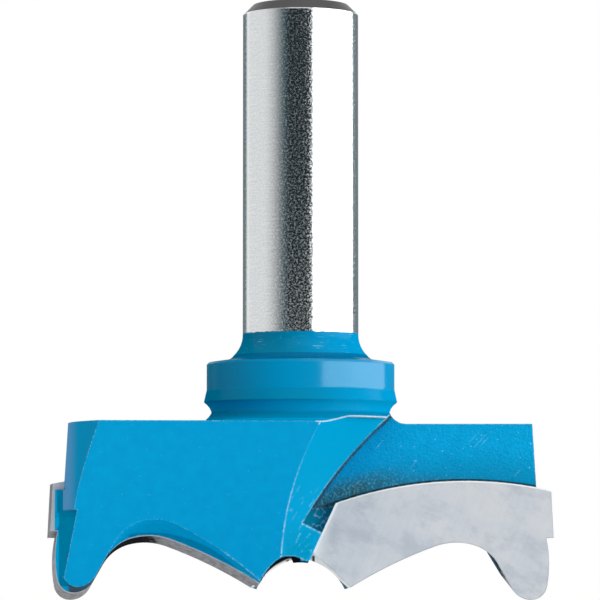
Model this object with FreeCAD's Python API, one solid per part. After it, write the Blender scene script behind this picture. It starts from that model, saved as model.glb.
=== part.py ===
"""A rosette cutter: a round shank, a turned collar and a two-wing head that carries two brazed tips.

Millimetres. Z is the cutter's own axis and points up the shank. Z = 0 is the lowest point of the cutting
edges. The rake face of the front tip lies on +X and looks towards -Y. The back tip is the same, turned half
a round.
"""
import FreeCAD
import Part
import math
import os

os.makedirs("parts", exist_ok=True)

Vector = FreeCAD.Vector
ORIGIN = Vector(0, 0, 0)
UP = Vector(0, 0, 1)
HALF_TURN = 180.0

# Shank, flare and collar, all turned on the axis
SHANK_R = 6.35
SHANK_TOP_Z = 65.4
SHANK_CHAMFER = 1.1
FLARE_START_Z = 29.1
FLARE_MID_R = 6.7
FLARE_MID_Z = 27.57
FLARE_END_R = 7.36
FLARE_END_Z = 26.7
CONE_MID_R = 7.65
CONE_MID_Z = 26.4
CONE_START_R = 8.1
CONE_START_Z = 26.22
COLLAR_TOP_Z = 25.95
COLLAR_R = 10.3
COLLAR_EDGE = 0.25
LIP_START_Z = 22.95
LIP_R = 10.6
LIP_Z = 21.6
LIP_EDGE = 0.14
GROOVE_MID_R = 9.98
GROOVE_MID_Z = 20.97
GROOVE_R = 9.77
GROOVE_Z = 20.45
FOOT_MID_R = 10.3
FOOT_MID_Z = 19.75
FOOT_R = 11.5

# Cutting radius, which the wings and the profile follow
CUTTING_R = 27.72

# Turned disc that the wings are milled from
PLATE_TOP_Z = 19.26
PLATE_TOP_R = CUTTING_R - 2.28
PLATE_LOW_R = CUTTING_R - 1.85
SHOULDER_Z = 12.0
DISC_BOTTOM_Z = -4.0

# Cutting profile, as a chain of tangent arcs seen in the XZ plane
# Its outer arcs grow with the cutting radius
BEAD_R = 5.08
BEAD_CENTRE_Z = -1.08
SLOPE_R = 50.0
SLOPE_JOIN_DEG = 20.0
ARCH_R = CUTTING_R * 0.2453
ARCH_X = CUTTING_R * 0.6151
ARCH_TOP_Z = 6.25
HAUNCH_R = CUTTING_R * 0.166
HAUNCH_JOIN_DEG = 15.0
LOBE_X = CUTTING_R * 0.9091
LOBE_INNER_R = CUTTING_R * 0.0866
LOBE_OUTER_R = CUTTING_R * 0.0649
FLANK_R = 14.0
FLANK_CENTRE_Z = 4.0
STEP_Z = 6.75
STEP_TOP_X = CUTTING_R - 0.3

# Relief: how far the profile moves in and up for each millimetre behind the edge
RELIEF_IN = 0.205
RELIEF_UP = 0.315
BEAD_RELIEF_IN = 0.1
BEAD_RELIEF_UP = 0.3
BODY_BEAD_BACK = 0.08
BODY_SET_BACK = 0.4
TIP_BEAD_BACK = 0.22

# Steeper second relief on the outer side of each wing, below the turned rim
SIDE_X = CUTTING_R - 0.97
SIDE_START_Y = 2.3
SIDE_IN = 0.43
SIDE_TOP_Z = 9.8

# Brazed tips
TIP_THICKNESS = 2.3
TIP_TOP_R = 43.0
TIP_TOP_X = 18.1
TIP_TOP_Z = 13.0
TIP_INNER_TOP_X = 3.84
TIP_INNER_LOW_X = 0.57
TIP_INNER_LOW_Z = 3.5
TIP_OUTER_X = CUTTING_R + 1.28
BACK_TIP_RISE = 0.6
BEVEL_START = (1.9, 4.7)
BEVEL_END = (5.4, 1.44)
BEVEL_DEG = 40.0

# Gullet in front of each tip
GULLET_FLOOR_Y = 0.35
GULLET_R = 42.8
GULLET_CENTRE = (37.7, -12.3)
GULLET_TOP_Z = 20.3
GULLET_CORNER_X = 1.19
POCKET_FLOOR_Y = 1.6
POCKET_CORNER = (0.2, 8.4)
POCKET_TOE = (2.7, 7.14)
POCKET_INSIDE = (4.6, 10.2)
GULLET_OVERLAP = 0.5

# Back of each wing: a plane whose depth grows with height and with radius
BACK_DEPTH = 1.27
BACK_PER_HEIGHT = 0.55
BACK_PER_RADIUS = 0.096
WING_DEPTH = 26.0

# Web facets between the back of one wing and the gullet of the other
WEB_A = (1.33, -10.8, 17.6)
WEB_B = (-2.1, -4.07, 4.7)
WEB_C = (9.4, -3.83, 20.05)
WEB_R = 66.0
WEB_TOP_Z = 19.8
THIN_A = (0.2, -4.01, 8.4)
THIN_B = (-1.75, -4.1, 5.3)
THIN_C = (2.2, -0.9, 7.37)
THIN_FLOOR_Y = 1.8
THIN_LEFT_X = -6.0

# Half the size of the blocks that stand for open space in the cuts
BIG = 80.0


def flat(x, z, y=0.0):
    """A point given as it is seen from the front."""
    return Vector(x, y, z)


def line(a, b):
    return Part.LineSegment(a, b).toShape()


def arc(a, b, c):
    return Part.Arc(a, b, c).toShape()


def on_circle(centre, radius, degrees):
    """Point on a circle, with the angle measured clockwise from straight up."""
    angle = math.radians(degrees)
    return flat(centre.x + radius * math.sin(angle), centre.z + radius * math.cos(angle))


def round_arc(centre, radius, start, end):
    """Arc of a circle between two angles measured from straight up."""
    middle = (start + end) / 2
    first, second, third = (on_circle(centre, radius, angle) for angle in (start, middle, end))
    return arc(first, second, third)


def angle_of(centre, point):
    return math.degrees(math.atan2(point.x - centre.x, point.z - centre.z))


def prism(points, y_start, y_end):
    """Straight block with a front outline of corner points."""
    loop = [flat(x, z, y_start) for x, z in points]
    face = Part.Face(Part.makePolygon(loop + [loop[0]]))
    return face.extrude(Vector(0, y_end - y_start, 0))


def turned_blank():
    """The bar after turning, before any wing is milled."""
    lip_foot = flat(LIP_R - LIP_EDGE, LIP_Z - LIP_EDGE)
    corner = [
        line(flat(0, DISC_BOTTOM_Z), flat(BIG, DISC_BOTTOM_Z)),
        line(flat(BIG, DISC_BOTTOM_Z), flat(BIG, SHOULDER_Z)),
        line(flat(BIG, SHOULDER_Z), flat(PLATE_LOW_R, SHOULDER_Z)),
        line(flat(PLATE_LOW_R, SHOULDER_Z), flat(PLATE_TOP_R, PLATE_TOP_Z)),
        line(flat(PLATE_TOP_R, PLATE_TOP_Z), flat(FOOT_R, PLATE_TOP_Z)),
        arc(flat(FOOT_R, PLATE_TOP_Z), flat(FOOT_MID_R, FOOT_MID_Z), flat(GROOVE_R, GROOVE_Z)),
        arc(flat(GROOVE_R, GROOVE_Z), flat(GROOVE_MID_R, GROOVE_MID_Z), lip_foot),
        line(lip_foot, flat(LIP_R, LIP_Z)),
        line(flat(LIP_R, LIP_Z), flat(COLLAR_R, LIP_START_Z)),
        line(flat(COLLAR_R, LIP_START_Z), flat(COLLAR_R, COLLAR_TOP_Z - COLLAR_EDGE)),
        line(flat(COLLAR_R, COLLAR_TOP_Z - COLLAR_EDGE), flat(COLLAR_R - COLLAR_EDGE, COLLAR_TOP_Z)),
        line(flat(COLLAR_R - COLLAR_EDGE, COLLAR_TOP_Z), flat(CONE_START_R, CONE_START_Z)),
        arc(flat(CONE_START_R, CONE_START_Z), flat(CONE_MID_R, CONE_MID_Z), flat(FLARE_END_R, FLARE_END_Z)),
        arc(flat(FLARE_END_R, FLARE_END_Z), flat(FLARE_MID_R, FLARE_MID_Z), flat(SHANK_R, FLARE_START_Z)),
        line(flat(SHANK_R, FLARE_START_Z), flat(SHANK_R, SHANK_TOP_Z - SHANK_CHAMFER)),
        line(flat(SHANK_R, SHANK_TOP_Z - SHANK_CHAMFER), flat(SHANK_R - SHANK_CHAMFER, SHANK_TOP_Z)),
        line(flat(SHANK_R - SHANK_CHAMFER, SHANK_TOP_Z), flat(0, SHANK_TOP_Z)),
        line(flat(0, SHANK_TOP_Z), flat(0, DISC_BOTTOM_Z)),
    ]
    return Part.Face(Part.Wire(corner)).revolve(ORIGIN, UP, 360)


def profile_edges():
    """Cutting edge from below the bead's point out to the top of the outer step."""
    arch = flat(ARCH_X, ARCH_TOP_Z - ARCH_R)
    slope_end = on_circle(arch, ARCH_R, -SLOPE_JOIN_DEG)
    slope = on_circle(slope_end, -SLOPE_R, -SLOPE_JOIN_DEG)
    slope_z = slope.z + math.sqrt(SLOPE_R ** 2 - slope.x ** 2)
    haunch_start = on_circle(arch, ARCH_R, HAUNCH_JOIN_DEG)
    haunch = on_circle(haunch_start, -HAUNCH_R, HAUNCH_JOIN_DEG)
    lobe_in = flat(LOBE_X, LOBE_INNER_R)
    reach = math.hypot(lobe_in.x - haunch.x, lobe_in.z - haunch.z)
    rise = math.degrees(math.atan2(lobe_in.z - haunch.z, lobe_in.x - haunch.x))
    drop = math.degrees(math.asin((HAUNCH_R + LOBE_INNER_R) / reach)) - rise
    lobe_out = flat(LOBE_X, LOBE_OUTER_R)
    centre_gap = FLANK_R - LOBE_OUTER_R
    centre_drop = FLANK_CENTRE_Z - LOBE_OUTER_R
    flank = flat(LOBE_X - math.sqrt(centre_gap ** 2 - centre_drop ** 2), FLANK_CENTRE_Z)
    flank_start = 90 + math.degrees(math.asin(centre_drop / centre_gap))
    flank_end = 90 - math.degrees(math.asin((STEP_Z - FLANK_CENTRE_Z) / FLANK_R))
    step = on_circle(flank, FLANK_R, flank_end)
    slope_mid_deg = (angle_of(slope, flat(0, slope_z)) - SLOPE_JOIN_DEG) / 2
    haunch_end = on_circle(haunch, HAUNCH_R, drop)
    lobe_start = on_circle(lobe_in, LOBE_INNER_R, drop + HALF_TURN)
    return [
        arc(flat(0, slope_z), on_circle(slope, SLOPE_R, slope_mid_deg), slope_end),
        round_arc(arch, ARCH_R, -SLOPE_JOIN_DEG, HAUNCH_JOIN_DEG),
        round_arc(haunch, HAUNCH_R, HAUNCH_JOIN_DEG, drop),
        line(haunch_end, lobe_start),
        round_arc(lobe_in, LOBE_INNER_R, drop + HALF_TURN, HALF_TURN),
        round_arc(lobe_out, LOBE_OUTER_R, HALF_TURN, flank_start),
        round_arc(flank, FLANK_R, flank_start, flank_end),
        line(step, flat(CUTTING_R, STEP_Z)),
        line(flat(CUTTING_R, STEP_Z), flat(STEP_TOP_X, TIP_TOP_Z)),
    ]


def relieved_block(depth, set_back, left_x):
    """Everything inside the cutting profile, slanted back by the relief."""
    edges = profile_edges()
    first = edges[0].Vertexes[0].Point
    last = edges[-1].Vertexes[-1].Point
    if first.x > last.x:
        first, last = last, first
    edges.append(line(last, flat(last.x, BIG)))
    edges.append(line(flat(last.x, BIG), flat(left_x, BIG)))
    edges.append(line(flat(left_x, BIG), flat(left_x, first.z)))
    edges.append(line(flat(left_x, first.z), first))
    slant = Vector(-RELIEF_IN * depth, depth, RELIEF_UP * depth)
    block = Part.Face(Part.Wire(Part.__sortEdges__(edges))).extrude(slant)
    block.translate(Vector(-RELIEF_IN * set_back, 0, RELIEF_UP * set_back))
    return block


def bead_hollow(depth, radius):
    """Half-round hollow at the axis, rising a little behind the edge."""
    circle = Part.makeCircle(radius, flat(0, BEAD_CENTRE_Z), Vector(0, 1, 0))
    backward = Vector(-BEAD_RELIEF_IN * depth, depth, BEAD_RELIEF_UP * depth)
    return Part.Face(Part.Wire(circle)).extrude(backward)


def tip_blank(rise, y_start, y_end):
    """The carbide blank as a straight slab: curved top, slanted inner end."""
    top_centre = flat(TIP_TOP_X, TIP_TOP_Z - TIP_TOP_R + rise, y_start)
    inner_z = top_centre.z + math.sqrt(TIP_TOP_R ** 2 - (TIP_INNER_TOP_X - TIP_TOP_X) ** 2)
    outer_z = top_centre.z + math.sqrt(TIP_TOP_R ** 2 - (TIP_OUTER_X - TIP_TOP_X) ** 2)
    apex = flat(TIP_TOP_X, TIP_TOP_Z + rise, y_start)
    inner_top = flat(TIP_INNER_TOP_X, inner_z, y_start)
    outer_top = flat(TIP_OUTER_X, outer_z, y_start)
    inner_low = flat(TIP_INNER_LOW_X, TIP_INNER_LOW_Z, y_start)
    bottom_in = flat(TIP_INNER_LOW_X, DISC_BOTTOM_Z, y_start)
    bottom_out = flat(TIP_OUTER_X, DISC_BOTTOM_Z, y_start)
    loop = [
        arc(inner_top, apex, outer_top),
        line(outer_top, bottom_out),
        line(bottom_out, bottom_in),
        line(bottom_in, inner_low),
        line(inner_low, inner_top),
    ]
    return Part.Face(Part.Wire(loop)).extrude(Vector(0, y_end - y_start, 0))


def half_space(origin, outward):
    """A very large block on the outward side of a plane."""
    side = Part.makePlane(BIG * 2, BIG * 2, ORIGIN - Vector(BIG, BIG, 0))
    block = side.extrude(UP * BIG)
    block.Placement = FreeCAD.Placement(origin, FreeCAD.Rotation(UP, outward))
    return block


def edge_bevel():
    """Flat bevel that thins the tip where it meets the bead."""
    start = flat(*BEVEL_START)
    along = flat(*BEVEL_END) - start
    along.normalize()
    across = Vector(along.z, 0, -along.x)
    tilt = math.radians(BEVEL_DEG)
    outward = across * math.sin(tilt) + Vector(0, -math.cos(tilt), 0)
    return half_space(start, outward)


def side_relief():
    """Outer side of the front wing, slanted in behind the tip. The turned rim above it stays whole."""
    outward = Vector(1, SIDE_IN, 0)
    outward.normalize()
    beyond = half_space(Vector(SIDE_X, SIDE_START_Y, 0), outward)
    low = prism([(0, DISC_BOTTOM_Z), (BIG, DISC_BOTTOM_Z), (BIG, SIDE_TOP_Z), (0, SIDE_TOP_Z)], 0, BIG)
    high = prism([(0, SIDE_TOP_Z), (BIG, SIDE_TOP_Z), (BIG, PLATE_TOP_Z), (0, PLATE_TOP_Z)], 0, BIG)
    rim = Part.makeCone(PLATE_LOW_R, PLATE_TOP_R, PLATE_TOP_Z - SHOULDER_Z, Vector(0, 0, SHOULDER_Z))
    under_rim = Part.makeCylinder(PLATE_LOW_R, SHOULDER_Z - SIDE_TOP_Z, Vector(0, 0, SIDE_TOP_Z))
    high = high.cut(rim).cut(under_rim)
    return low.common(beyond), high.common(beyond)


def tip(rise):
    """One carbide tip in the place of the front wing."""
    ground = relieved_block(TIP_THICKNESS, 0.0, -BIG)
    body = tip_blank(rise, 0.0, TIP_THICKNESS).common(ground)
    body = body.cut(bead_hollow(TIP_THICKNESS, BEAD_R + TIP_BEAD_BACK))
    return body.cut(edge_bevel())


def gullet():
    """Chip space in front of the front tip, with its long curved wall."""
    centre = flat(*GULLET_CENTRE)

    def wall_at_z(z):
        return centre.x - math.sqrt(GULLET_R ** 2 - (z - centre.z) ** 2)

    def wall_at_x(x):
        return centre.z + math.sqrt(GULLET_R ** 2 - (x - centre.x) ** 2)

    top = flat(wall_at_z(GULLET_TOP_Z), GULLET_TOP_Z)
    corner = flat(GULLET_CORNER_X, wall_at_x(GULLET_CORNER_X))
    middle_x = (top.x + corner.x) / 2
    points = [
        corner,
        flat(*POCKET_CORNER),
        flat(*POCKET_TOE),
        flat(TIP_INNER_LOW_X + GULLET_OVERLAP, TIP_INNER_LOW_Z),
        flat(TIP_INNER_LOW_X + GULLET_OVERLAP, DISC_BOTTOM_Z),
        flat(BIG, DISC_BOTTOM_Z),
        flat(BIG, GULLET_TOP_Z),
        top,
    ]
    edges = [line(a, b) for a, b in zip(points, points[1:])]
    edges.append(arc(top, flat(middle_x, wall_at_x(middle_x)), corner))
    face = Part.Face(Part.Wire(edges))
    face.translate(Vector(0, -BIG, 0))
    return face.extrude(Vector(0, BIG + GULLET_FLOOR_Y, 0))


def seat_pocket():
    """Small clearance left of the tip where the seat cutter ran out."""
    centre = flat(*GULLET_CENTRE)
    corner_z = centre.z + math.sqrt(GULLET_R ** 2 - (GULLET_CORNER_X - centre.x) ** 2)
    outline = [(GULLET_CORNER_X, corner_z), POCKET_INSIDE, POCKET_TOE, POCKET_CORNER]
    return prism(outline, -BIG, POCKET_FLOOR_Y)


def facing_front(a, b, c):
    """Unit normal of the plane through three points, towards the front of the right wing."""
    normal = (b - a).cross(c - a)
    normal.normalize()
    return normal if normal.dot(Vector(1, -1, 0)) > 0 else normal * -1


def web_cut():
    """Broad hollow facet from the back of the far wing down to the gullet wall, milled with a roller."""
    top, low, beside = Vector(*WEB_A), Vector(*WEB_B), Vector(*WEB_C)
    outward = facing_front(top, low, beside)
    roller_axis = outward.cross(low - top)
    roller_axis.normalize()
    half_chord = (low - top).Length / 2
    centre = (top + low) / 2 + outward * math.sqrt(WEB_R ** 2 - half_chord ** 2)
    roller = Part.makeCylinder(WEB_R, BIG * 2, centre - roller_axis * BIG, roller_axis)
    limit = prism([(-BIG, DISC_BOTTOM_Z), (BIG, DISC_BOTTOM_Z), (BIG, WEB_TOP_Z), (-BIG, WEB_TOP_Z)],
                  -BIG, GULLET_FLOOR_Y)
    return roller.common(limit)


def thinning_cut():
    """Steep facet beside the tip's inner end, where the web is thinned."""
    outline = [
        (THIN_LEFT_X, POCKET_CORNER[1]),
        POCKET_CORNER,
        POCKET_TOE,
        (TIP_INNER_LOW_X + GULLET_OVERLAP, TIP_INNER_LOW_Z),
        (TIP_INNER_LOW_X + GULLET_OVERLAP, DISC_BOTTOM_Z),
        (THIN_LEFT_X, DISC_BOTTOM_Z),
    ]
    limit = prism(outline, -BIG, THIN_FLOOR_Y)
    origin = Vector(*THIN_A)
    return half_space(origin, facing_front(origin, Vector(*THIN_B), Vector(*THIN_C))).common(limit)


def wing_back():
    """Half space behind the front wing."""
    outward = Vector(-BACK_PER_RADIUS, 1, -BACK_PER_HEIGHT)
    outward.normalize()
    return half_space(Vector(0, BACK_DEPTH, 0), outward)


def turned(shape):
    """The same shape half a round on, for the other wing."""
    copy = shape.copy()
    copy.rotate(ORIGIN, UP, HALF_TURN)
    return copy


def head_half():
    """Half of the head behind the plane of the tips, relieved and hollowed."""
    block = relieved_block(WING_DEPTH, BODY_SET_BACK, -BIG)
    slab = [(-BIG, DISC_BOTTOM_Z), (BIG, DISC_BOTTOM_Z), (BIG, PLATE_TOP_Z), (-BIG, PLATE_TOP_Z)]
    half = prism(slab, 0, BIG)
    half = half.common(block).cut(bead_hollow(WING_DEPTH, BEAD_R + BODY_BEAD_BACK)).cut(wing_back())
    for side in side_relief():
        half = half.cut(side)
    return half


def cutter_body():
    """Shank, collar and two wings as one solid."""
    blank = turned_blank()
    below_top = Part.makeCylinder(BIG, PLATE_TOP_Z + BIG, Vector(0, 0, -BIG))
    upper = blank.cut(below_top)
    head = head_half()
    head = head.fuse(turned(head))
    head = head.common(blank)
    body = upper.fuse(head)
    for cut in (gullet(), seat_pocket(), web_cut(), thinning_cut()):
        body = body.cut(cut).cut(turned(cut))
    body = body.cut(tip_blank(0.0, -TIP_THICKNESS, TIP_THICKNESS))
    body = body.cut(turned(tip_blank(BACK_TIP_RISE, -TIP_THICKNESS, TIP_THICKNESS)))
    return body.removeSplitter()


def largest_solid(shape):
    return max(shape.Solids, key=lambda solid: solid.Volume)


front_tip = largest_solid(tip(0.0))
back_tip = turned(largest_solid(tip(BACK_TIP_RISE)))
body = largest_solid(cutter_body())
body.exportStep("parts/cutter_body.step")
front_tip.exportStep("parts/front_tip.step")
back_tip.exportStep("parts/back_tip.step")
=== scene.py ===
"""Looks of the rosette cutter: ground steel shank, glossy blue paint and ground carbide tips.

The materials work in millimetres of object position, on the axes of the part's frame.
"""

import bpy
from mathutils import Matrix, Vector

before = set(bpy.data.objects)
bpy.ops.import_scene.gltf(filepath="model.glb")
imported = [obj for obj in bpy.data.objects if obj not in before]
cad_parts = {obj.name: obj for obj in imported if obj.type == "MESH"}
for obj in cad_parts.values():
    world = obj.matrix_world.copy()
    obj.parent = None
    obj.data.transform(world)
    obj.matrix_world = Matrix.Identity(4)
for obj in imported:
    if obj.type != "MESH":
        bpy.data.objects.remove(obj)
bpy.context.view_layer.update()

MM = 0.001
WHITE = (1, 1, 1, 1)

# Colours of the shank
STEEL_DARK = (0.6, 0.63, 0.65, 1)
STEEL_LIGHT = (0.79, 0.8, 0.8, 1)
STEEL_END = (0.13, 0.13, 0.13, 1)

# Colours of the paint and of what lies on it, and painted light and shade on it
PAINT_DEEP = (0.0, 0.325, 0.635, 1)
PAINT_CLEAR = (0.0, 0.35, 0.67, 1)
COLLAR_SHADE = (0.0, 0.245, 0.48, 1)
UNDER_LIP_LIGHT = (0.0, 0.36, 0.64, 1)
PAINT_SHADE = (0.0, 0.16, 0.27, 1)
FLARE_FOOT_SHADE = (0.0, 0.1, 0.22, 1)
GROOVE_FOOT_SHADE = (0.0, 0.17, 0.3, 1)
# Pale colour of specks, scratches and streaks, and of painted highlights on edges
PALE_MARKS_AND_HIGHLIGHTS = (0.38, 0.72, 0.88, 1)
RIM_SHADE = (0.004, 0.27, 0.51, 1)
RIM_SHADE_SHEEN = (0.09, 0.285, 0.52, 1)
GULLET_LOW_SHADE = (0.0, 0.22, 0.36, 1)
GULLET_PEAK_HIGHLIGHT = (0.02, 0.5, 0.7, 1)
GULLET_SHADE = (0.0, 0.12, 0.22, 1)
SCORCH_SHADE_DARK = (0.026, 0.1, 0.125, 1)
SCORCH_SHADE_LIGHT = (0.085, 0.29, 0.36, 1)
BRAZE_SEAM_AND_SHADE = (0.006, 0.02, 0.03, 1)
WALL_FOOT_SHADE = (0.03, 0.1, 0.16, 1)
WEB_SHADE = (0.0, 0.315, 0.575, 1)
WEB_DULL = (0.0, 0.24, 0.4, 1)
WEB_RIDGE_HIGHLIGHT = (0.5, 0.8, 0.92, 1)
POCKET_FLOOR_LIT = (0.0, 0.42, 0.56, 1)
DRIED_FLUX = (0.55, 0.78, 0.86, 1)
RELIEF_LIGHT = (0.0, 0.45, 0.82, 1)
RELIEF_FACET_SHADE = (0.0, 0.24, 0.47, 1)
LOBE_WALL_SHADE = (0.07, 0.08, 0.09, 1)
AXIS_HOLLOW_SHADE = (0.004, 0.008, 0.012, 1)
SIDE_STRIP = (0.0, 0.11, 0.19, 1)
WEB_TOP_HIGHLIGHT = (0.72, 0.87, 0.94, 1)
PAINT_REFLECTION = (0.7, 0.92, 1, 1)

# Colours of the carbide, with its painted highlights and shade
FACE_DARK = (0.6, 0.64, 0.7, 1)
FACE_LIGHT = (0.72, 0.735, 0.755, 1)
FACE_SMUDGE = (0.44, 0.48, 0.54, 1)
FACE_OUTLINE = (0.24, 0.25, 0.28, 1)
SIDE_DARK = (0.13, 0.135, 0.15, 1)
SIDE_LIGHT = (0.27, 0.27, 0.285, 1)
SIDE_OUTLINE = (0.06, 0.06, 0.065, 1)
ARCH_SHADE = (0.01, 0.01, 0.012, 1)
BEVEL = (1.0, 0.97, 0.9, 1)
PALE_END = (0.92, 0.91, 0.88, 1)
INNER_EDGE_HIGHLIGHT = (1.0, 0.99, 0.95, 1)
DARK_NOTCH = (0.02, 0.03, 0.02, 1)
TIP_TOP_HIGHLIGHT = (0.97, 0.97, 0.97, 1)
SHADED_BODY_PAINT = (0.0, 0.13, 0.19, 1)

# Colours of the studio
FLOOR_GREY = (0.8, 0.8, 0.8, 1)
DIM_LIGHT = (0.5, 0.86, 1, 1)

# Arcs seen from the front, in mm: centre's x, centre's z and radius
TIP_TOP_ARC = (18.1, -30.0, 43.0)
GULLET_WALL_ARC = (37.7, -12.3, 42.8)
SECOND_RELIEF_ARC = (16.4, -6.3, 13.15)
AXIS_HOLLOW_ARC = (0.0, -1.08, 5.2)

# Heights in mm
END_FACE_Z = (64.28, 64.36)
PAINT_EDGE_Z = (29.06, 29.16)
TURNED_Z = (19.6, 20.2)
SEAT_EDGE_Z = 9.6

# How far the wing's back leans, in mm of depth for each mm of height and of reach
LEAN_UP = 0.55
LEAN_OUT = 0.096

PAINT_ROUGHNESS = 0.16
FLOOR_SIZE = 3.0
FLOOR_Z = -0.0006
BACK_TIP_RISE = 0.6


class Nodes:
    """Short helpers to write node trees as formulas."""

    def __init__(self, tree):
        self.tree = tree

    def add(self, kind, **settings):
        node = self.tree.nodes.new(kind)
        for key, value in settings.items():
            setattr(node, key, value)
        return node

    def put(self, socket, value):
        if hasattr(value, "is_output"):
            self.tree.links.new(value, socket)
        else:
            socket.default_value = value

    def math(self, operation, a, b=None, clamp=False):
        node = self.add("ShaderNodeMath", operation=operation, use_clamp=clamp)
        self.put(node.inputs[0], a)
        if b is not None:
            self.put(node.inputs[1], b)
        return node.outputs[0]

    def product(self, first, *others):
        for value in others:
            first = self.math("MULTIPLY", first, value)
        return first

    def plus(self, a, b, times=1.0):
        """a + b * times."""
        return self.math("ADD", a, b if times == 1.0 else self.math("MULTIPLY", b, times))

    def larger(self, a, b):
        return self.math("MAXIMUM", a, b)

    def inverse(self, mask):
        return self.math("SUBTRACT", 1.0, mask)

    def under(self, value, limit):
        return self.math("LESS_THAN", value, limit)

    def over(self, value, limit):
        return self.math("GREATER_THAN", value, limit)

    def ramp(self, value, low, high):
        """0 at low, 1 at high, smooth between. It falls where low is the larger one."""
        node = self.add("ShaderNodeMapRange", interpolation_type="SMOOTHSTEP")
        self.put(node.inputs["Value"], value)
        node.inputs["From Min"].default_value = low
        node.inputs["From Max"].default_value = high
        return node.outputs["Result"]

    def band(self, value, low, high, soft):
        """1 between low and high, fading over soft on each side."""
        rise = self.ramp(value, low - soft, low)
        fall = self.ramp(value, high, high + soft)
        return self.math("SUBTRACT", rise, fall, clamp=True)

    def mix(self, factor, a, b):
        node = self.add("ShaderNodeMix", data_type="RGBA")
        self.put(node.inputs[0], factor)
        self.put(node.inputs[6], a)
        self.put(node.inputs[7], b)
        return node.outputs[2]

    def coat(self, base, colour, mask, strength):
        """base with colour laid over it where mask is 1, by the share strength."""
        return self.mix(self.math("MULTIPLY", mask, strength, clamp=True), base, colour)

    def mix_shaders(self, factor, a, b):
        node = self.add("ShaderNodeMixShader")
        for socket, value in zip(node.inputs, (factor, a, b)):
            self.put(socket, value)
        return node.outputs[0]

    def noise(self, vector, scale, detail=4.0, rough=0.5):
        node = self.add("ShaderNodeTexNoise")
        self.put(node.inputs["Vector"], vector)
        node.inputs["Scale"].default_value = scale
        node.inputs["Detail"].default_value = detail
        node.inputs["Roughness"].default_value = rough
        return node.outputs["Fac"]

    def combine(self, x, y, z):
        node = self.add("ShaderNodeCombineXYZ")
        for socket, value in zip(node.inputs, (x, y, z)):
            self.put(socket, value)
        return node.outputs[0]

    def split(self, vector):
        node = self.add("ShaderNodeSeparateXYZ")
        self.put(node.inputs[0], vector)
        return node.outputs

    def place(self):
        """Object position in millimetres, and its three parts."""
        scale = self.add("ShaderNodeVectorMath", operation="SCALE")
        self.put(scale.inputs[0], self.add("ShaderNodeTexCoord").outputs["Object"])
        scale.inputs["Scale"].default_value = 1 / MM
        return (scale.outputs[0], *self.split(scale.outputs[0]))

    def surface_normal(self):
        return self.add("ShaderNodeNewGeometry").outputs["Normal"]

    def bump(self, height, strength, distance, normal):
        node = self.add("ShaderNodeBump")
        self.put(node.inputs["Height"], height)
        node.inputs["Strength"].default_value = strength
        node.inputs["Distance"].default_value = distance
        self.put(node.inputs["Normal"], normal)
        return node.outputs[0]

    def soft_edge(self, radius):
        node = self.add("ShaderNodeBevel", samples=4)
        node.inputs["Radius"].default_value = radius
        return node.outputs[0]

    def edge_of(self, radius, low, high):
        """Near 1 on the edges of the shape, 0 on its flats."""
        dot = self.add("ShaderNodeVectorMath", operation="DOT_PRODUCT")
        self.put(dot.inputs[0], self.soft_edge(radius))
        self.put(dot.inputs[1], self.surface_normal())
        return self.ramp(self.inverse(dot.outputs["Value"]), low, high)

    def outside(self, x, z, arc):
        """Distance outside an arc that is seen from the front."""
        centre_x, centre_z, radius = arc
        across = self.math("SUBTRACT", x, centre_x)
        up = self.math("SUBTRACT", z, centre_z)
        square = self.plus(self.product(across, across), self.product(up, up))
        return self.math("SUBTRACT", self.math("SQRT", square), radius)

    def facing_front(self, low, high):
        """1 where the surface looks to the front or the back, 0 on its sides."""
        return self.ramp(self.math("ABSOLUTE", self.split(self.surface_normal())[1]), low, high)

    def shader(self, colour, roughness, metallic, normal, specular=0.5, tint=WHITE):
        node = self.add("ShaderNodeBsdfPrincipled")
        self.put(node.inputs["Base Color"], colour)
        self.put(node.inputs["Roughness"], roughness)
        node.inputs["Metallic"].default_value = metallic
        self.put(node.inputs["Specular IOR Level"], specular)
        node.inputs["Specular Tint"].default_value = tint
        self.put(node.inputs["Normal"], normal)
        return node.outputs[0]

    def plain_light(self, kind, colour, strength):
        """A background or an emission of one colour and strength."""
        node = self.add(kind)
        self.put(node.inputs["Color"], colour)
        self.put(node.inputs["Strength"], strength)
        return node.outputs[0]

    def seen_by(self, *rays):
        """1 for the named kinds of ray."""
        path = self.add("ShaderNodeLightPath")
        seen = path.outputs[rays[0]]
        for ray in rays[1:]:
            seen = self.larger(seen, path.outputs[ray])
        return seen

    def output(self, surface, kind="ShaderNodeOutputMaterial"):
        self.put(self.add(kind).inputs["Surface"], surface)


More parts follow.
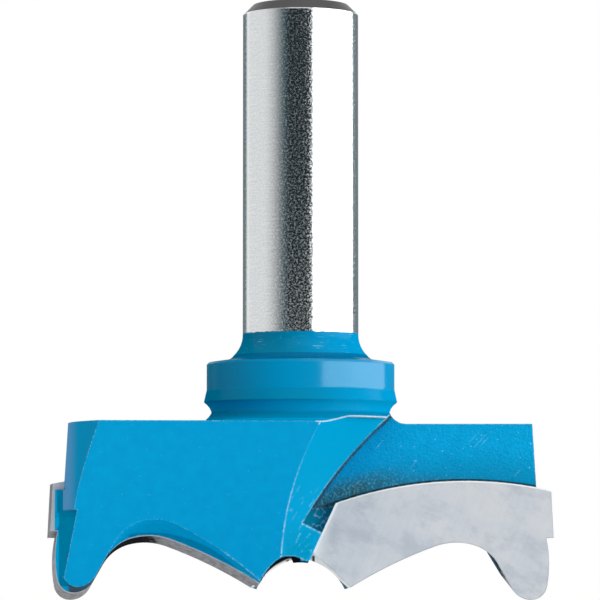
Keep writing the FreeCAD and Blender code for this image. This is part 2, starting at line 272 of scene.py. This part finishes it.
class BodyNodes(Nodes):
    """The body's material: bare ground steel above, blue paint from the flare down."""

    def __init__(self, tree):
        super().__init__(tree)
        self.spot, self.x, self.y, self.z = self.place()
        self.soft = self.soft_edge(0.18 * MM)
        self.angle = self.math("ARCTAN2", self.y, self.x)

        # The same for both wings. wing_y grows behind the tip's face
        sign = self.math("SIGN", self.x)
        self.wing_x = self.product(self.x, sign)
        self.wing_y = self.product(self.y, sign)
        leaning = self.plus(self.wing_y, self.z, -LEAN_UP)
        self.behind = self.plus(leaning, self.wing_x, -LEAN_OUT)

        # The same for both sides of the web between the wings
        side = self.product(self.math("SIGN", self.y), -1.0)
        self.web_x = self.product(self.x, side)
        self.web_y = self.math("ABSOLUTE", self.y)
        self.near_web = self.product(self.band(self.web_x, -8.0, 9.0, 0.3), self.over(self.web_y, 0.6),
                                     self.under(self.z, TURNED_Z[0]))

        # The orange peel of the paint, and two finer grains
        self.peel = self.noise(self.spot, 0.9, 3.0, 0.6)
        self.grainy = self.noise(self.spot, 3.2, 4.0, 0.65)
        self.coarse = self.noise(self.spot, 3.6, 3.0, 0.65)

        self.turned = self.ramp(self.z, *TURNED_Z)
        self.in_gullet = self.product(self.band(self.wing_y, -0.3, 1.9, 0.2),
                                      self.ramp(self.wing_x, 0.15, 0.3), self.under(self.z, 20.4),
                                      self.facing_front(0.9, 0.97))
        self.on_side = self.ramp(self.facing_front(0.5, 0.8), 1.0, 0.0)
        self.above_seat = self.over(self.z, SEAT_EDGE_Z)
        self.above_tip = self.outside(self.wing_x, self.z, TIP_TOP_ARC)

    def steel(self):
        """Ground steel with fine rings left by the grinding wheel, and a darker end face."""
        rings = self.noise(self.combine(self.product(self.angle, 1.6), 0.0, self.product(self.z, 9.0)),
                           1.6, 5.0, 0.75)
        grit = self.noise(self.combine(self.product(self.angle, 6.35), 0.0, self.z), 4.2, 3.0, 0.6)
        tone = self.plus(self.product(self.ramp(rings, 0.4, 0.62), 0.45), self.ramp(grit, 0.35, 0.65), 0.55)
        end_face = self.ramp(self.z, *END_FACE_Z)
        colour = self.mix(end_face, self.mix(tone, STEEL_DARK, STEEL_LIGHT), STEEL_END)
        grain = self.plus(self.product(rings, 0.35), grit, 0.65)
        normal = self.bump(grain, 0.35, 0.02 * MM, self.soft)
        rough = self.plus(0.07, self.ramp(grit, 0.36, 0.66), 0.2)
        rough = self.larger(rough, self.product(end_face, 0.55))
        return self.shader(colour, rough, 1.0, normal)

    def turned_shades(self, paint):
        """Painted shade on the collar, its lip, the groove below it and the flare, and painted light under
        the lip.
        """
        z = self.z
        paint = self.mix(self.turned, paint, COLLAR_SHADE)
        leftward = self.plus(self.product(self.x, 0.09), 0.55)
        side_shade = self.product(self.turned, self.ramp(leftward, 0.5, -0.6), self.under(self.y, 3.0))
        paint = self.mix(side_shade, paint, PAINT_SHADE)
        paint = self.coat(paint, UNDER_LIP_LIGHT, self.band(z, 20.55, 21.5, 0.12), 0.5)
        flare_shade = self.product(self.ramp(z, 26.2, 26.9), self.ramp(self.x, 3.6, -3.0),
                                   self.under(self.y, 2.0))
        paint = self.coat(paint, PAINT_SHADE, flare_shade, 0.75)
        lip_shade = self.product(self.band(z, 21.5, 22.8, 0.12), self.ramp(self.x, 7.0, 0.0))
        paint = self.coat(paint, PAINT_SHADE, lip_shade, 0.4)
        paint = self.coat(paint, FLARE_FOOT_SHADE, self.band(z, 25.98, 26.7, 0.15), 0.7)
        groove_foot_shade = self.product(self.band(z, 19.3, 20.3, 0.1),
                                   self.ramp(self.facing_front(0.82, 0.9), 1.0, 0.0))
        return self.coat(paint, GROOVE_FOOT_SHADE, groove_foot_shade, 0.7)

    def wing_rim(self, paint):
        """Turned rim of the wings: duller, painted darker as shade, and greyer towards its far end as a
        painted sheen.
        """
        zone = self.product(self.on_side, self.band(self.z, 9.8, 19.2, 0.1),
                            self.band(self.wing_x, 21.5, 25.7, 0.05), self.ramp(self.wing_y, 2.3, 2.6))
        return self.mix(zone, paint, self.mix(self.ramp(self.wing_x, 23.7, 25.3), RIM_SHADE, RIM_SHADE_SHEEN))

    def gullet(self, paint):
        """Specks everywhere, and on the gullet's floor grain painted as highlight on its peaks and shade in
        its lows, and scratches.
        """
        speckle = self.noise(self.spot, 2.6, 2.0, 0.5)
        specks = self.product(self.ramp(speckle, 0.7, 0.73), self.plus(0.07, self.in_gullet, 0.4))
        paint = self.mix(specks, paint, PALE_MARKS_AND_HIGHLIGHTS)
        low_shade = self.product(self.in_gullet, self.ramp(self.coarse, 0.5, 0.3))
        paint = self.coat(paint, GULLET_LOW_SHADE, low_shade, 0.25)
        peak_highlight = self.product(self.in_gullet, self.ramp(self.coarse, 0.56, 0.7))
        paint = self.coat(paint, GULLET_PEAK_HIGHLIGHT, peak_highlight, 0.15)
        along = self.combine(self.plus(self.x, self.z, -0.95), 0.0, self.product(self.z, 0.12))
        scratches = self.product(self.in_gullet, self.ramp(self.noise(along, 2.6, 2.0, 0.5), 0.66, 0.74))
        return self.coat(paint, PALE_MARKS_AND_HIGHLIGHTS, scratches, 0.22)

    def scorch_and_shade(self, paint):
        """Scorched flux above the tip with painted shade, darkest at its inner end, and the dark seam of the
        braze with painted shade.
        """
        shade = self.product(self.in_gullet, self.ramp(self.above_tip, 4.2, 0.2))
        paint = self.coat(paint, GULLET_SHADE, shade, 0.38)
        spread = self.plus(self.above_tip, self.wing_x, 0.13)
        along_tip = self.product(self.inverse(self.ramp(spread, 0.3, 3.4)), self.in_gullet,
                                 self.ramp(self.above_tip, -0.6, 0.0), self.above_seat)
        inner_end = self.product(self.ramp(self.wing_x, 14.0, 6.0), self.ramp(self.above_tip, 2.9, 0.5),
                                 self.in_gullet, self.above_seat)
        blotches = self.plus(0.6, self.ramp(self.noise(self.spot, 1.7, 3.0, 0.6), 0.3, 0.6), 0.45)
        scorch_shade_mask = self.math("MULTIPLY", self.larger(along_tip, inner_end), blotches, clamp=True)
        scorch_shade_colour = self.mix(self.ramp(self.coarse, 0.5, 0.64), SCORCH_SHADE_DARK, SCORCH_SHADE_LIGHT)
        paint = self.mix(scorch_shade_mask, paint, scorch_shade_colour)
        seam = self.product(self.band(self.above_tip, -0.1, 0.16, 0.12), self.in_gullet, self.above_seat)
        return self.coat(paint, BRAZE_SEAM_AND_SHADE, seam, 0.85)

    def gullet_wall(self, paint):
        """Painted shade along the foot of the gullet's wall, and a painted highlight line on the wall's edge.
        """
        wall = self.outside(self.wing_x, self.z, GULLET_WALL_ARC)
        on_front = self.product(self.under(self.wing_y, 0.5), self.over(self.wing_x, 1.2),
                                self.band(self.z, 9.8, 20.3, 0.1))
        foot_shade = self.product(self.band(wall, -0.33, -0.04, 0.07), on_front,
                           self.plus(0.6, self.ramp(self.coarse, 0.4, 0.6)))
        paint = self.coat(paint, WALL_FOOT_SHADE, foot_shade, 0.75)
        line = self.product(self.band(wall, 0.0, 0.08, 0.05), on_front, self.ramp(self.coarse, 0.35, 0.55),
                            self.facing_front(0.5, 0.7))
        return self.coat(paint, PALE_MARKS_AND_HIGHLIGHTS, line, 0.55)

    def web(self, paint):
        """Web between the wings: painted a little darker as shade, duller and grainy below the pocket, with a
        painted highlight on the ridge at its left.
        """
        z, web_x = self.z, self.web_x
        far_back = self.plus(self.plus(self.web_y, z, -LEAN_UP), web_x, LEAN_OUT)
        web = self.product(self.near_web, self.under(far_back, 1.2))
        paint = self.coat(paint, WEB_SHADE, web, 0.9)
        dull = self.product(web, self.ramp(z, 9.5, 5.0), self.ramp(self.grainy, 0.3, 0.6),
                            self.ramp(web_x, -2.2, -1.2))
        paint = self.coat(paint, WEB_DULL, dull, 0.7)
        along = self.combine(self.plus(web_x, z, -0.6), 0.0, self.product(z, 0.4))
        scuffs = self.product(web, self.ramp(self.noise(along, 2.2, 4.0, 0.65), 0.56, 0.72),
                              self.ramp(z, 15.0, 8.0), self.ramp(web_x, -1.8, -0.8))
        paint = self.coat(paint, PALE_MARKS_AND_HIGHLIGHTS, scuffs, 0.5)
        ridge = self.product(self.near_web, self.edge_of(0.32 * MM, 0.0016, 0.006),
                             self.ramp(self.grainy, 0.42, 0.56), self.ramp(z, 17.0, 9.5))
        return self.coat(paint, WEB_RIDGE_HIGHLIGHT, ridge, 0.75)

    def seat_pocket(self, paint):
        """Floor of the seat pocket, its teal lightened as painted light against the pocket's shade, with pale
        rings of dried flux.
        """
        pocket = self.product(self.band(self.wing_y, 1.35, 1.85, 0.1), self.band(self.wing_x, 0.0, 4.4, 0.3),
                              self.band(self.z, 6.8, 10.0, 0.2))
        paint = self.coat(paint, POCKET_FLOOR_LIT, pocket, 0.85)
        rings = self.band(self.noise(self.spot, 1.5, 1.0, 0.4), 0.49, 0.53, 0.04)
        flux = self.product(pocket, self.band(self.wing_x, 1.5, 3.3, 0.4), rings)
        return self.coat(paint, DRIED_FLUX, flux, 0.65)

    def profile_relief(self, paint):
        """Relieved profile lightened as painted light, and painted shade on its second facet, lobe wall and
        axis hollow.
        """
        z, wing_x, wing_y = self.z, self.wing_x, self.wing_y
        relieved = self.product(self.ramp(wing_y, 0.4, 0.6), self.under(self.behind, 1.15),
                                self.under(z, 9.0), self.over(wing_x, 3.2))
        paint = self.coat(paint, RELIEF_LIGHT, relieved, 0.5)
        lobe_shade = self.product(relieved, self.band(wing_x, 20.0, 25.0, 0.3), self.under(z, 5.2))
        paint = self.coat(paint, LOBE_WALL_SHADE, lobe_shade, 0.9)
        facet = self.product(self.ramp(wing_y, 2.0, 3.0),
                             self.band(self.outside(wing_x, z, SECOND_RELIEF_ARC), -0.75, 0.45, 0.12),
                             self.band(wing_x, 4.9, 18.4, 0.5), self.under(z, 8.0))
        paint = self.coat(paint, RELIEF_FACET_SHADE, facet, 0.75)
        hollow_x = self.plus(wing_x, wing_y, 0.1)
        hollow_z = self.plus(z, wing_y, -0.3)
        hollow = self.under(self.outside(hollow_x, hollow_z, AXIS_HOLLOW_ARC), 0.0)
        toe = self.product(self.band(self.web_x, -0.6, 1.1, 0.05), self.under(z, 4.22))
        return self.mix(self.larger(hollow, toe), paint, AXIS_HOLLOW_SHADE)

    def side_strip(self, paint):
        """Shadowed strip of the side relief, behind the tip's outer end."""
        low = self.product(self.band(self.wing_x, 23.8, 26.15, 0.12), self.band(self.z, 1.6, 9.75, 0.1))
        high = self.product(self.band(self.wing_x, 25.72, 26.4, 0.06), self.band(self.z, 9.6, 12.2, 0.2))
        strip = self.product(self.larger(low, high), self.ramp(self.wing_y, 2.3, 2.5),
                             self.under(self.behind, 1.2), self.on_side)
        return self.coat(paint, SIDE_STRIP, strip, 0.6)

    def edge_highlights(self, paint):
        """Broken lines of painted highlight on the edges of the wings and along the web's top."""
        on_web = self.product(self.near_web, self.ramp(self.z, 11.0, 15.0))
        wings = self.plus(self.under(self.z, 19.9), on_web, -0.6)
        edge = self.product(self.edge_of(0.15 * MM, 0.006, 0.035), self.ramp(self.coarse, 0.4, 0.58), wings,
                            self.facing_front(0.3, 0.5))
        paint = self.coat(paint, PALE_MARKS_AND_HIGHLIGHTS, edge, 0.7)
        top_highlight = self.product(self.edge_of(0.24 * MM, 0.003, 0.02), self.band(self.web_x, 1.7, 9.6, 0.2),
                                self.band(self.z, 18.9, 20.2, 0.1))
        return self.coat(paint, WEB_TOP_HIGHLIGHT, top_highlight, 0.9)

    def streaks(self, paint):
        """Thin streaks round the flare."""
        along = self.combine(self.product(self.angle, 2.2), 0.0, self.product(self.z, 6.0))
        streaks = self.product(self.ramp(self.noise(along, 1.3, 3.0, 0.6), 0.62, 0.72),
                               self.ramp(self.z, 26.6, 27.2))
        return self.coat(paint, PALE_MARKS_AND_HIGHLIGHTS, streaks, 0.5)

    def paint_normal(self):
        """Turning marks on the collar and the flare, orange peel, and the gullet's rough floor."""
        turning = self.noise(self.combine(self.product(self.angle, 0.5), 0.0, self.z), 9.0, 2.0, 0.5)
        relief = self.product(turning, self.turned, 0.25)
        relief = self.plus(relief, self.peel, 0.35)
        relief = self.plus(relief, self.product(self.coarse, self.in_gullet), 8.0)
        relief = self.plus(relief, self.product(self.grainy, self.in_gullet), 2.0)
        return self.bump(relief, 0.4, 0.06 * MM, self.soft)

    def paint_gloss(self):
        """Faint gloss on the faces of the wings, strong gloss on the right of the collar only."""
        collar = self.product(self.band(self.z, 23.0, 26.0, 0.3),
                              self.plus(0.01, self.band(self.x, 3.0, 6.0, 4.2), 0.36))
        gloss = self.plus(self.product(self.facing_front(0.5, 0.75), 0.045), collar)
        return self.plus(gloss, self.in_gullet, 0.02)

    def painted(self):
        paint = self.mix(self.ramp(self.peel, 0.3, 0.75), PAINT_DEEP, PAINT_CLEAR)
        for layer in (self.turned_shades, self.wing_rim, self.gullet, self.scorch_and_shade, self.gullet_wall, self.web,
                      self.seat_pocket, self.profile_relief, self.side_strip, self.edge_highlights, self.streaks):
            paint = layer(paint)
        return self.shader(paint, PAINT_ROUGHNESS, 0.0, self.paint_normal(), self.paint_gloss(),
                           PAINT_REFLECTION)

    def bare(self):
        """1 above the ragged line where the paint starts."""
        ragged = self.noise(self.combine(self.product(self.angle, 6.0), 0.0, 0.0), 1.5, 3.0, 0.6)
        return self.ramp(self.plus(self.z, self.math("SUBTRACT", ragged, 0.5), 0.35), *PAINT_EDGE_Z)


def new_material(name):
    mat = bpy.data.materials.new(name)
    mat.use_nodes = True
    mat.node_tree.nodes.clear()
    return mat


def body_material():
    mat = new_material("painted_steel")
    n = BodyNodes(mat.node_tree)
    n.output(n.mix_shaders(n.bare(), n.painted(), n.steel()))
    return mat


def carbide_material(name, seed, rise):
    """Ground carbide. rise is how much higher the tip sits than the front one, in mm."""
    mat = new_material(name)
    n = Nodes(mat.node_tree)
    spot, x, y, z = n.place()
    sign = n.math("SIGN", x)
    tip_x = n.product(x, sign)
    tip_y = n.product(y, sign)
    on_face = n.facing_front(0.9, 0.98)
    front = n.under(tip_y, 1.15)
    face = n.product(on_face, front)

    # Ground face, with clouds, fine lines and smudges
    shifted = n.add("ShaderNodeVectorMath", operation="ADD")
    n.put(shifted.inputs[0], spot)
    shifted.inputs[1].default_value = (seed, seed * 2.0, 0.0)
    cloud = n.noise(shifted.outputs[0], 0.22, 4.0, 0.6)
    lines = n.noise(n.combine(n.plus(x, z, -0.45), 0.0, n.product(z, 0.05)), 2.2, 5.0, 0.7)
    tone = n.plus(n.product(cloud, 0.7), lines, 0.3)
    colour = n.mix(n.ramp(tone, 0.3, 0.7), FACE_DARK, FACE_LIGHT)
    smudge = n.noise(n.combine(n.product(x, 0.6), seed, n.plus(z, x, 0.25)), 0.3, 5.0, 0.7)
    colour = n.coat(colour, FACE_SMUDGE, n.ramp(smudge, 0.47, 0.64), 0.5)

    # Duller sides, where the tip was ground with a coarser wheel, and painted shade under the arch
    mottle = n.noise(spot, 1.6, 4.0, 0.7)
    side_colour = n.mix(n.ramp(mottle, 0.38, 0.62), SIDE_DARK, SIDE_LIGHT)
    arch_shade_x = n.plus(tip_x, n.math("SUBTRACT", mottle, 0.5), 5.0)
    arch_shade = n.product(n.band(arch_shade_x, 16.4, 21.8, 1.6), n.under(z, 8.0), n.ramp(on_face, 1.0, 0.0))
    side_colour = n.coat(side_colour, ARCH_SHADE, arch_shade, 0.95)
    rim = n.edge_of(0.18 * MM, 0.004, 0.03)
    side_colour = n.coat(side_colour, SIDE_OUTLINE, rim, 0.6)
    colour = n.mix(on_face, side_colour, colour)
    colour = n.coat(colour, FACE_OUTLINE, n.product(rim, face), 0.6)

    # Pale bevel at the lower inner corner, pale inner end with a painted highlight line, and a small black
    # notch painted beside it
    across = n.plus(n.product(n.math("SUBTRACT", tip_x, 1.9), -0.682), n.math("SUBTRACT", z, 4.7), -0.732)
    bevel = n.product(n.over(across, 0.0), front)
    colour = n.mix(bevel, colour, BEVEL)
    inward = n.plus(n.product(n.math("SUBTRACT", tip_x, 0.57), 0.908), n.math("SUBTRACT", z, 3.5), -0.42)
    pale_reach = n.plus(inward, n.math("SUBTRACT", z, 4.0), 0.12)
    colour = n.coat(colour, PALE_END, n.product(n.ramp(pale_reach, 1.5, 0.2), face), 0.95)
    inner_highlight = n.product(n.ramp(inward, 0.36, 0.16), face)
    colour = n.mix(inner_highlight, colour, INNER_EDGE_HIGHLIGHT)
    dark_notch = n.product(n.band(tip_x, 1.3, 1.52, 0.06), n.band(z, 3.95, 4.75, 0.1), front,
                    n.ramp(cloud, 0.1, 0.3))
    colour = n.mix(dark_notch, colour, DARK_NOTCH)

    # Painted highlight on the upper edge, and at the foot of the bevel the body's paint in shade, painted on
    # the tip
    centre_x, centre_z, radius = TIP_TOP_ARC
    below_top = n.outside(tip_x, z, (centre_x, centre_z + rise, radius))
    colour = n.mix(n.product(n.band(below_top, -0.13, 0.02, 0.05), face), colour, TIP_TOP_HIGHLIGHT)
    shaded_body = n.product(n.over(across, 0.24), n.ramp(tip_x, 3.7, 3.8), front)
    colour = n.mix(shaded_body, colour, SHADED_BODY_PAINT)

    # Partly a dull surface, so that the face stays pale, and wholly so in the painted shade under the arch
    unshaded = n.inverse(arch_shade)
    normal = n.bump(lines, 0.1, 0.012 * MM, n.soft_edge(0.1 * MM))
    metal = n.shader(colour, n.plus(0.3, lines, 0.12), 1.0, normal)
    chalk = n.shader(colour, 0.5, 0.0, normal, n.product(unshaded, 0.5))
    dull = n.product(n.larger(bevel, inner_highlight), 0.38)
    n.output(n.mix_shaders(n.math("SUBTRACT", n.product(unshaded, 0.42), dull, clamp=True), chalk, metal))
    return mat


def dress(node_name, material):
    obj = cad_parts[node_name]
    obj.data.materials.clear()
    obj.data.materials.append(material)


def floor():
    """A floor that is white to the eye, keeps the shadow and is clear from below."""
    bpy.ops.mesh.primitive_plane_add(size=FLOOR_SIZE, location=(0, 0, FLOOR_Z))
    plane = bpy.context.object
    plane.name = "floor"
    mat = new_material("floor_white")
    n = Nodes(mat.node_tree)
    diffuse = n.add("ShaderNodeBsdfDiffuse")
    diffuse.inputs["Color"].default_value = FLOOR_GREY
    glow = n.plain_light("ShaderNodeEmission", WHITE, 1.0)
    seen = n.seen_by("Is Camera Ray", "Is Glossy Ray", "Is Transmission Ray")
    from_above = n.mix_shaders(seen, diffuse.outputs[0], glow)
    below = n.add("ShaderNodeNewGeometry").outputs["Backfacing"]
    clear = n.add("ShaderNodeBsdfTransparent").outputs[0]
    n.output(n.mix_shaders(below, from_above, clear))
    plane.data.materials.append(mat)


def studio():
    """World light by direction, with a white background for the camera.

    turn is the direction's angle from the front, in degrees, and grows to the right.
    """
    world = bpy.data.worlds.new("studio")
    bpy.context.scene.world = world
    world.use_nodes = True
    world.node_tree.nodes.clear()
    n = Nodes(world.node_tree)
    dx, dy, dz = n.split(n.add("ShaderNodeTexCoord").outputs["Generated"])
    turn = n.math("DEGREES", n.math("ARCTAN2", dx, n.product(dy, -1.0)))
    from_front = n.math("ABSOLUTE", turn)
    right = n.product(n.band(turn, 28.0, 123.0, 4.0), n.band(dz, -0.12, 0.28, 0.06))
    left = n.product(n.ramp(turn, -142.0, -132.0), n.ramp(turn, -20.0, -80.0), n.band(dz, -0.1, 0.6, 0.2))
    front = n.product(n.band(turn, -30.0, 60.0, 10.0), n.band(dz, 0.5, 0.85, 0.06))
    top = n.ramp(dz, 0.45, 0.85)
    rear = n.product(n.ramp(from_front, 120.0, 134.0), n.band(dz, -0.1, 0.2, 0.04))
    back = n.product(n.ramp(from_front, 125.0, 145.0), n.band(dz, 0.24, 0.6, 0.04))
    level = 0.035
    for panel, strength in ((right, 5.2), (left, 0.92), (front, 1.9), (top, 0.6), (rear, 0.2), (back, 1.6)):
        level = n.plus(level, panel, strength)
    lit = n.plain_light("ShaderNodeBackground", n.mix(n.ramp(level, 0.03, 0.5), DIM_LIGHT, WHITE), level)
    white = n.plain_light("ShaderNodeBackground", WHITE, 1.0)
    seen = n.seen_by("Is Camera Ray", "Is Transmission Ray")
    n.output(n.mix_shaders(seen, lit, white), "ShaderNodeOutputWorld")


def camera():
    """The photograph's view, from a little below the middle of the head."""
    distance = 0.395
    eye_z = 0.0080
    centre_z = 0.03285
    aside_x = -0.00006
    sensor = 36.0
    width_seen = 0.06593
    data = bpy.data.cameras.new("camera")
    cam = bpy.data.objects.new("camera", data)
    bpy.context.collection.objects.link(cam)
    cam.location = (aside_x, -distance, eye_z)
    aim = Vector((aside_x, 0.0, centre_z)) - cam.location
    cam.rotation_euler = aim.to_track_quat("-Z", "Y").to_euler()
    data.sensor_width = sensor
    data.lens = sensor * aim.length / width_seen
    data.clip_start = 0.01
    data.clip_end = 20.0
    bpy.context.scene.camera = cam


scene = bpy.context.scene
scene.view_settings.view_transform = "Standard"
dress("cutter_body", body_material())
dress("front_tip", carbide_material("carbide_front", 0.0, 0.0))
dress("back_tip", carbide_material("carbide_back", 7.0, BACK_TIP_RISE))
floor()
studio()
camera()
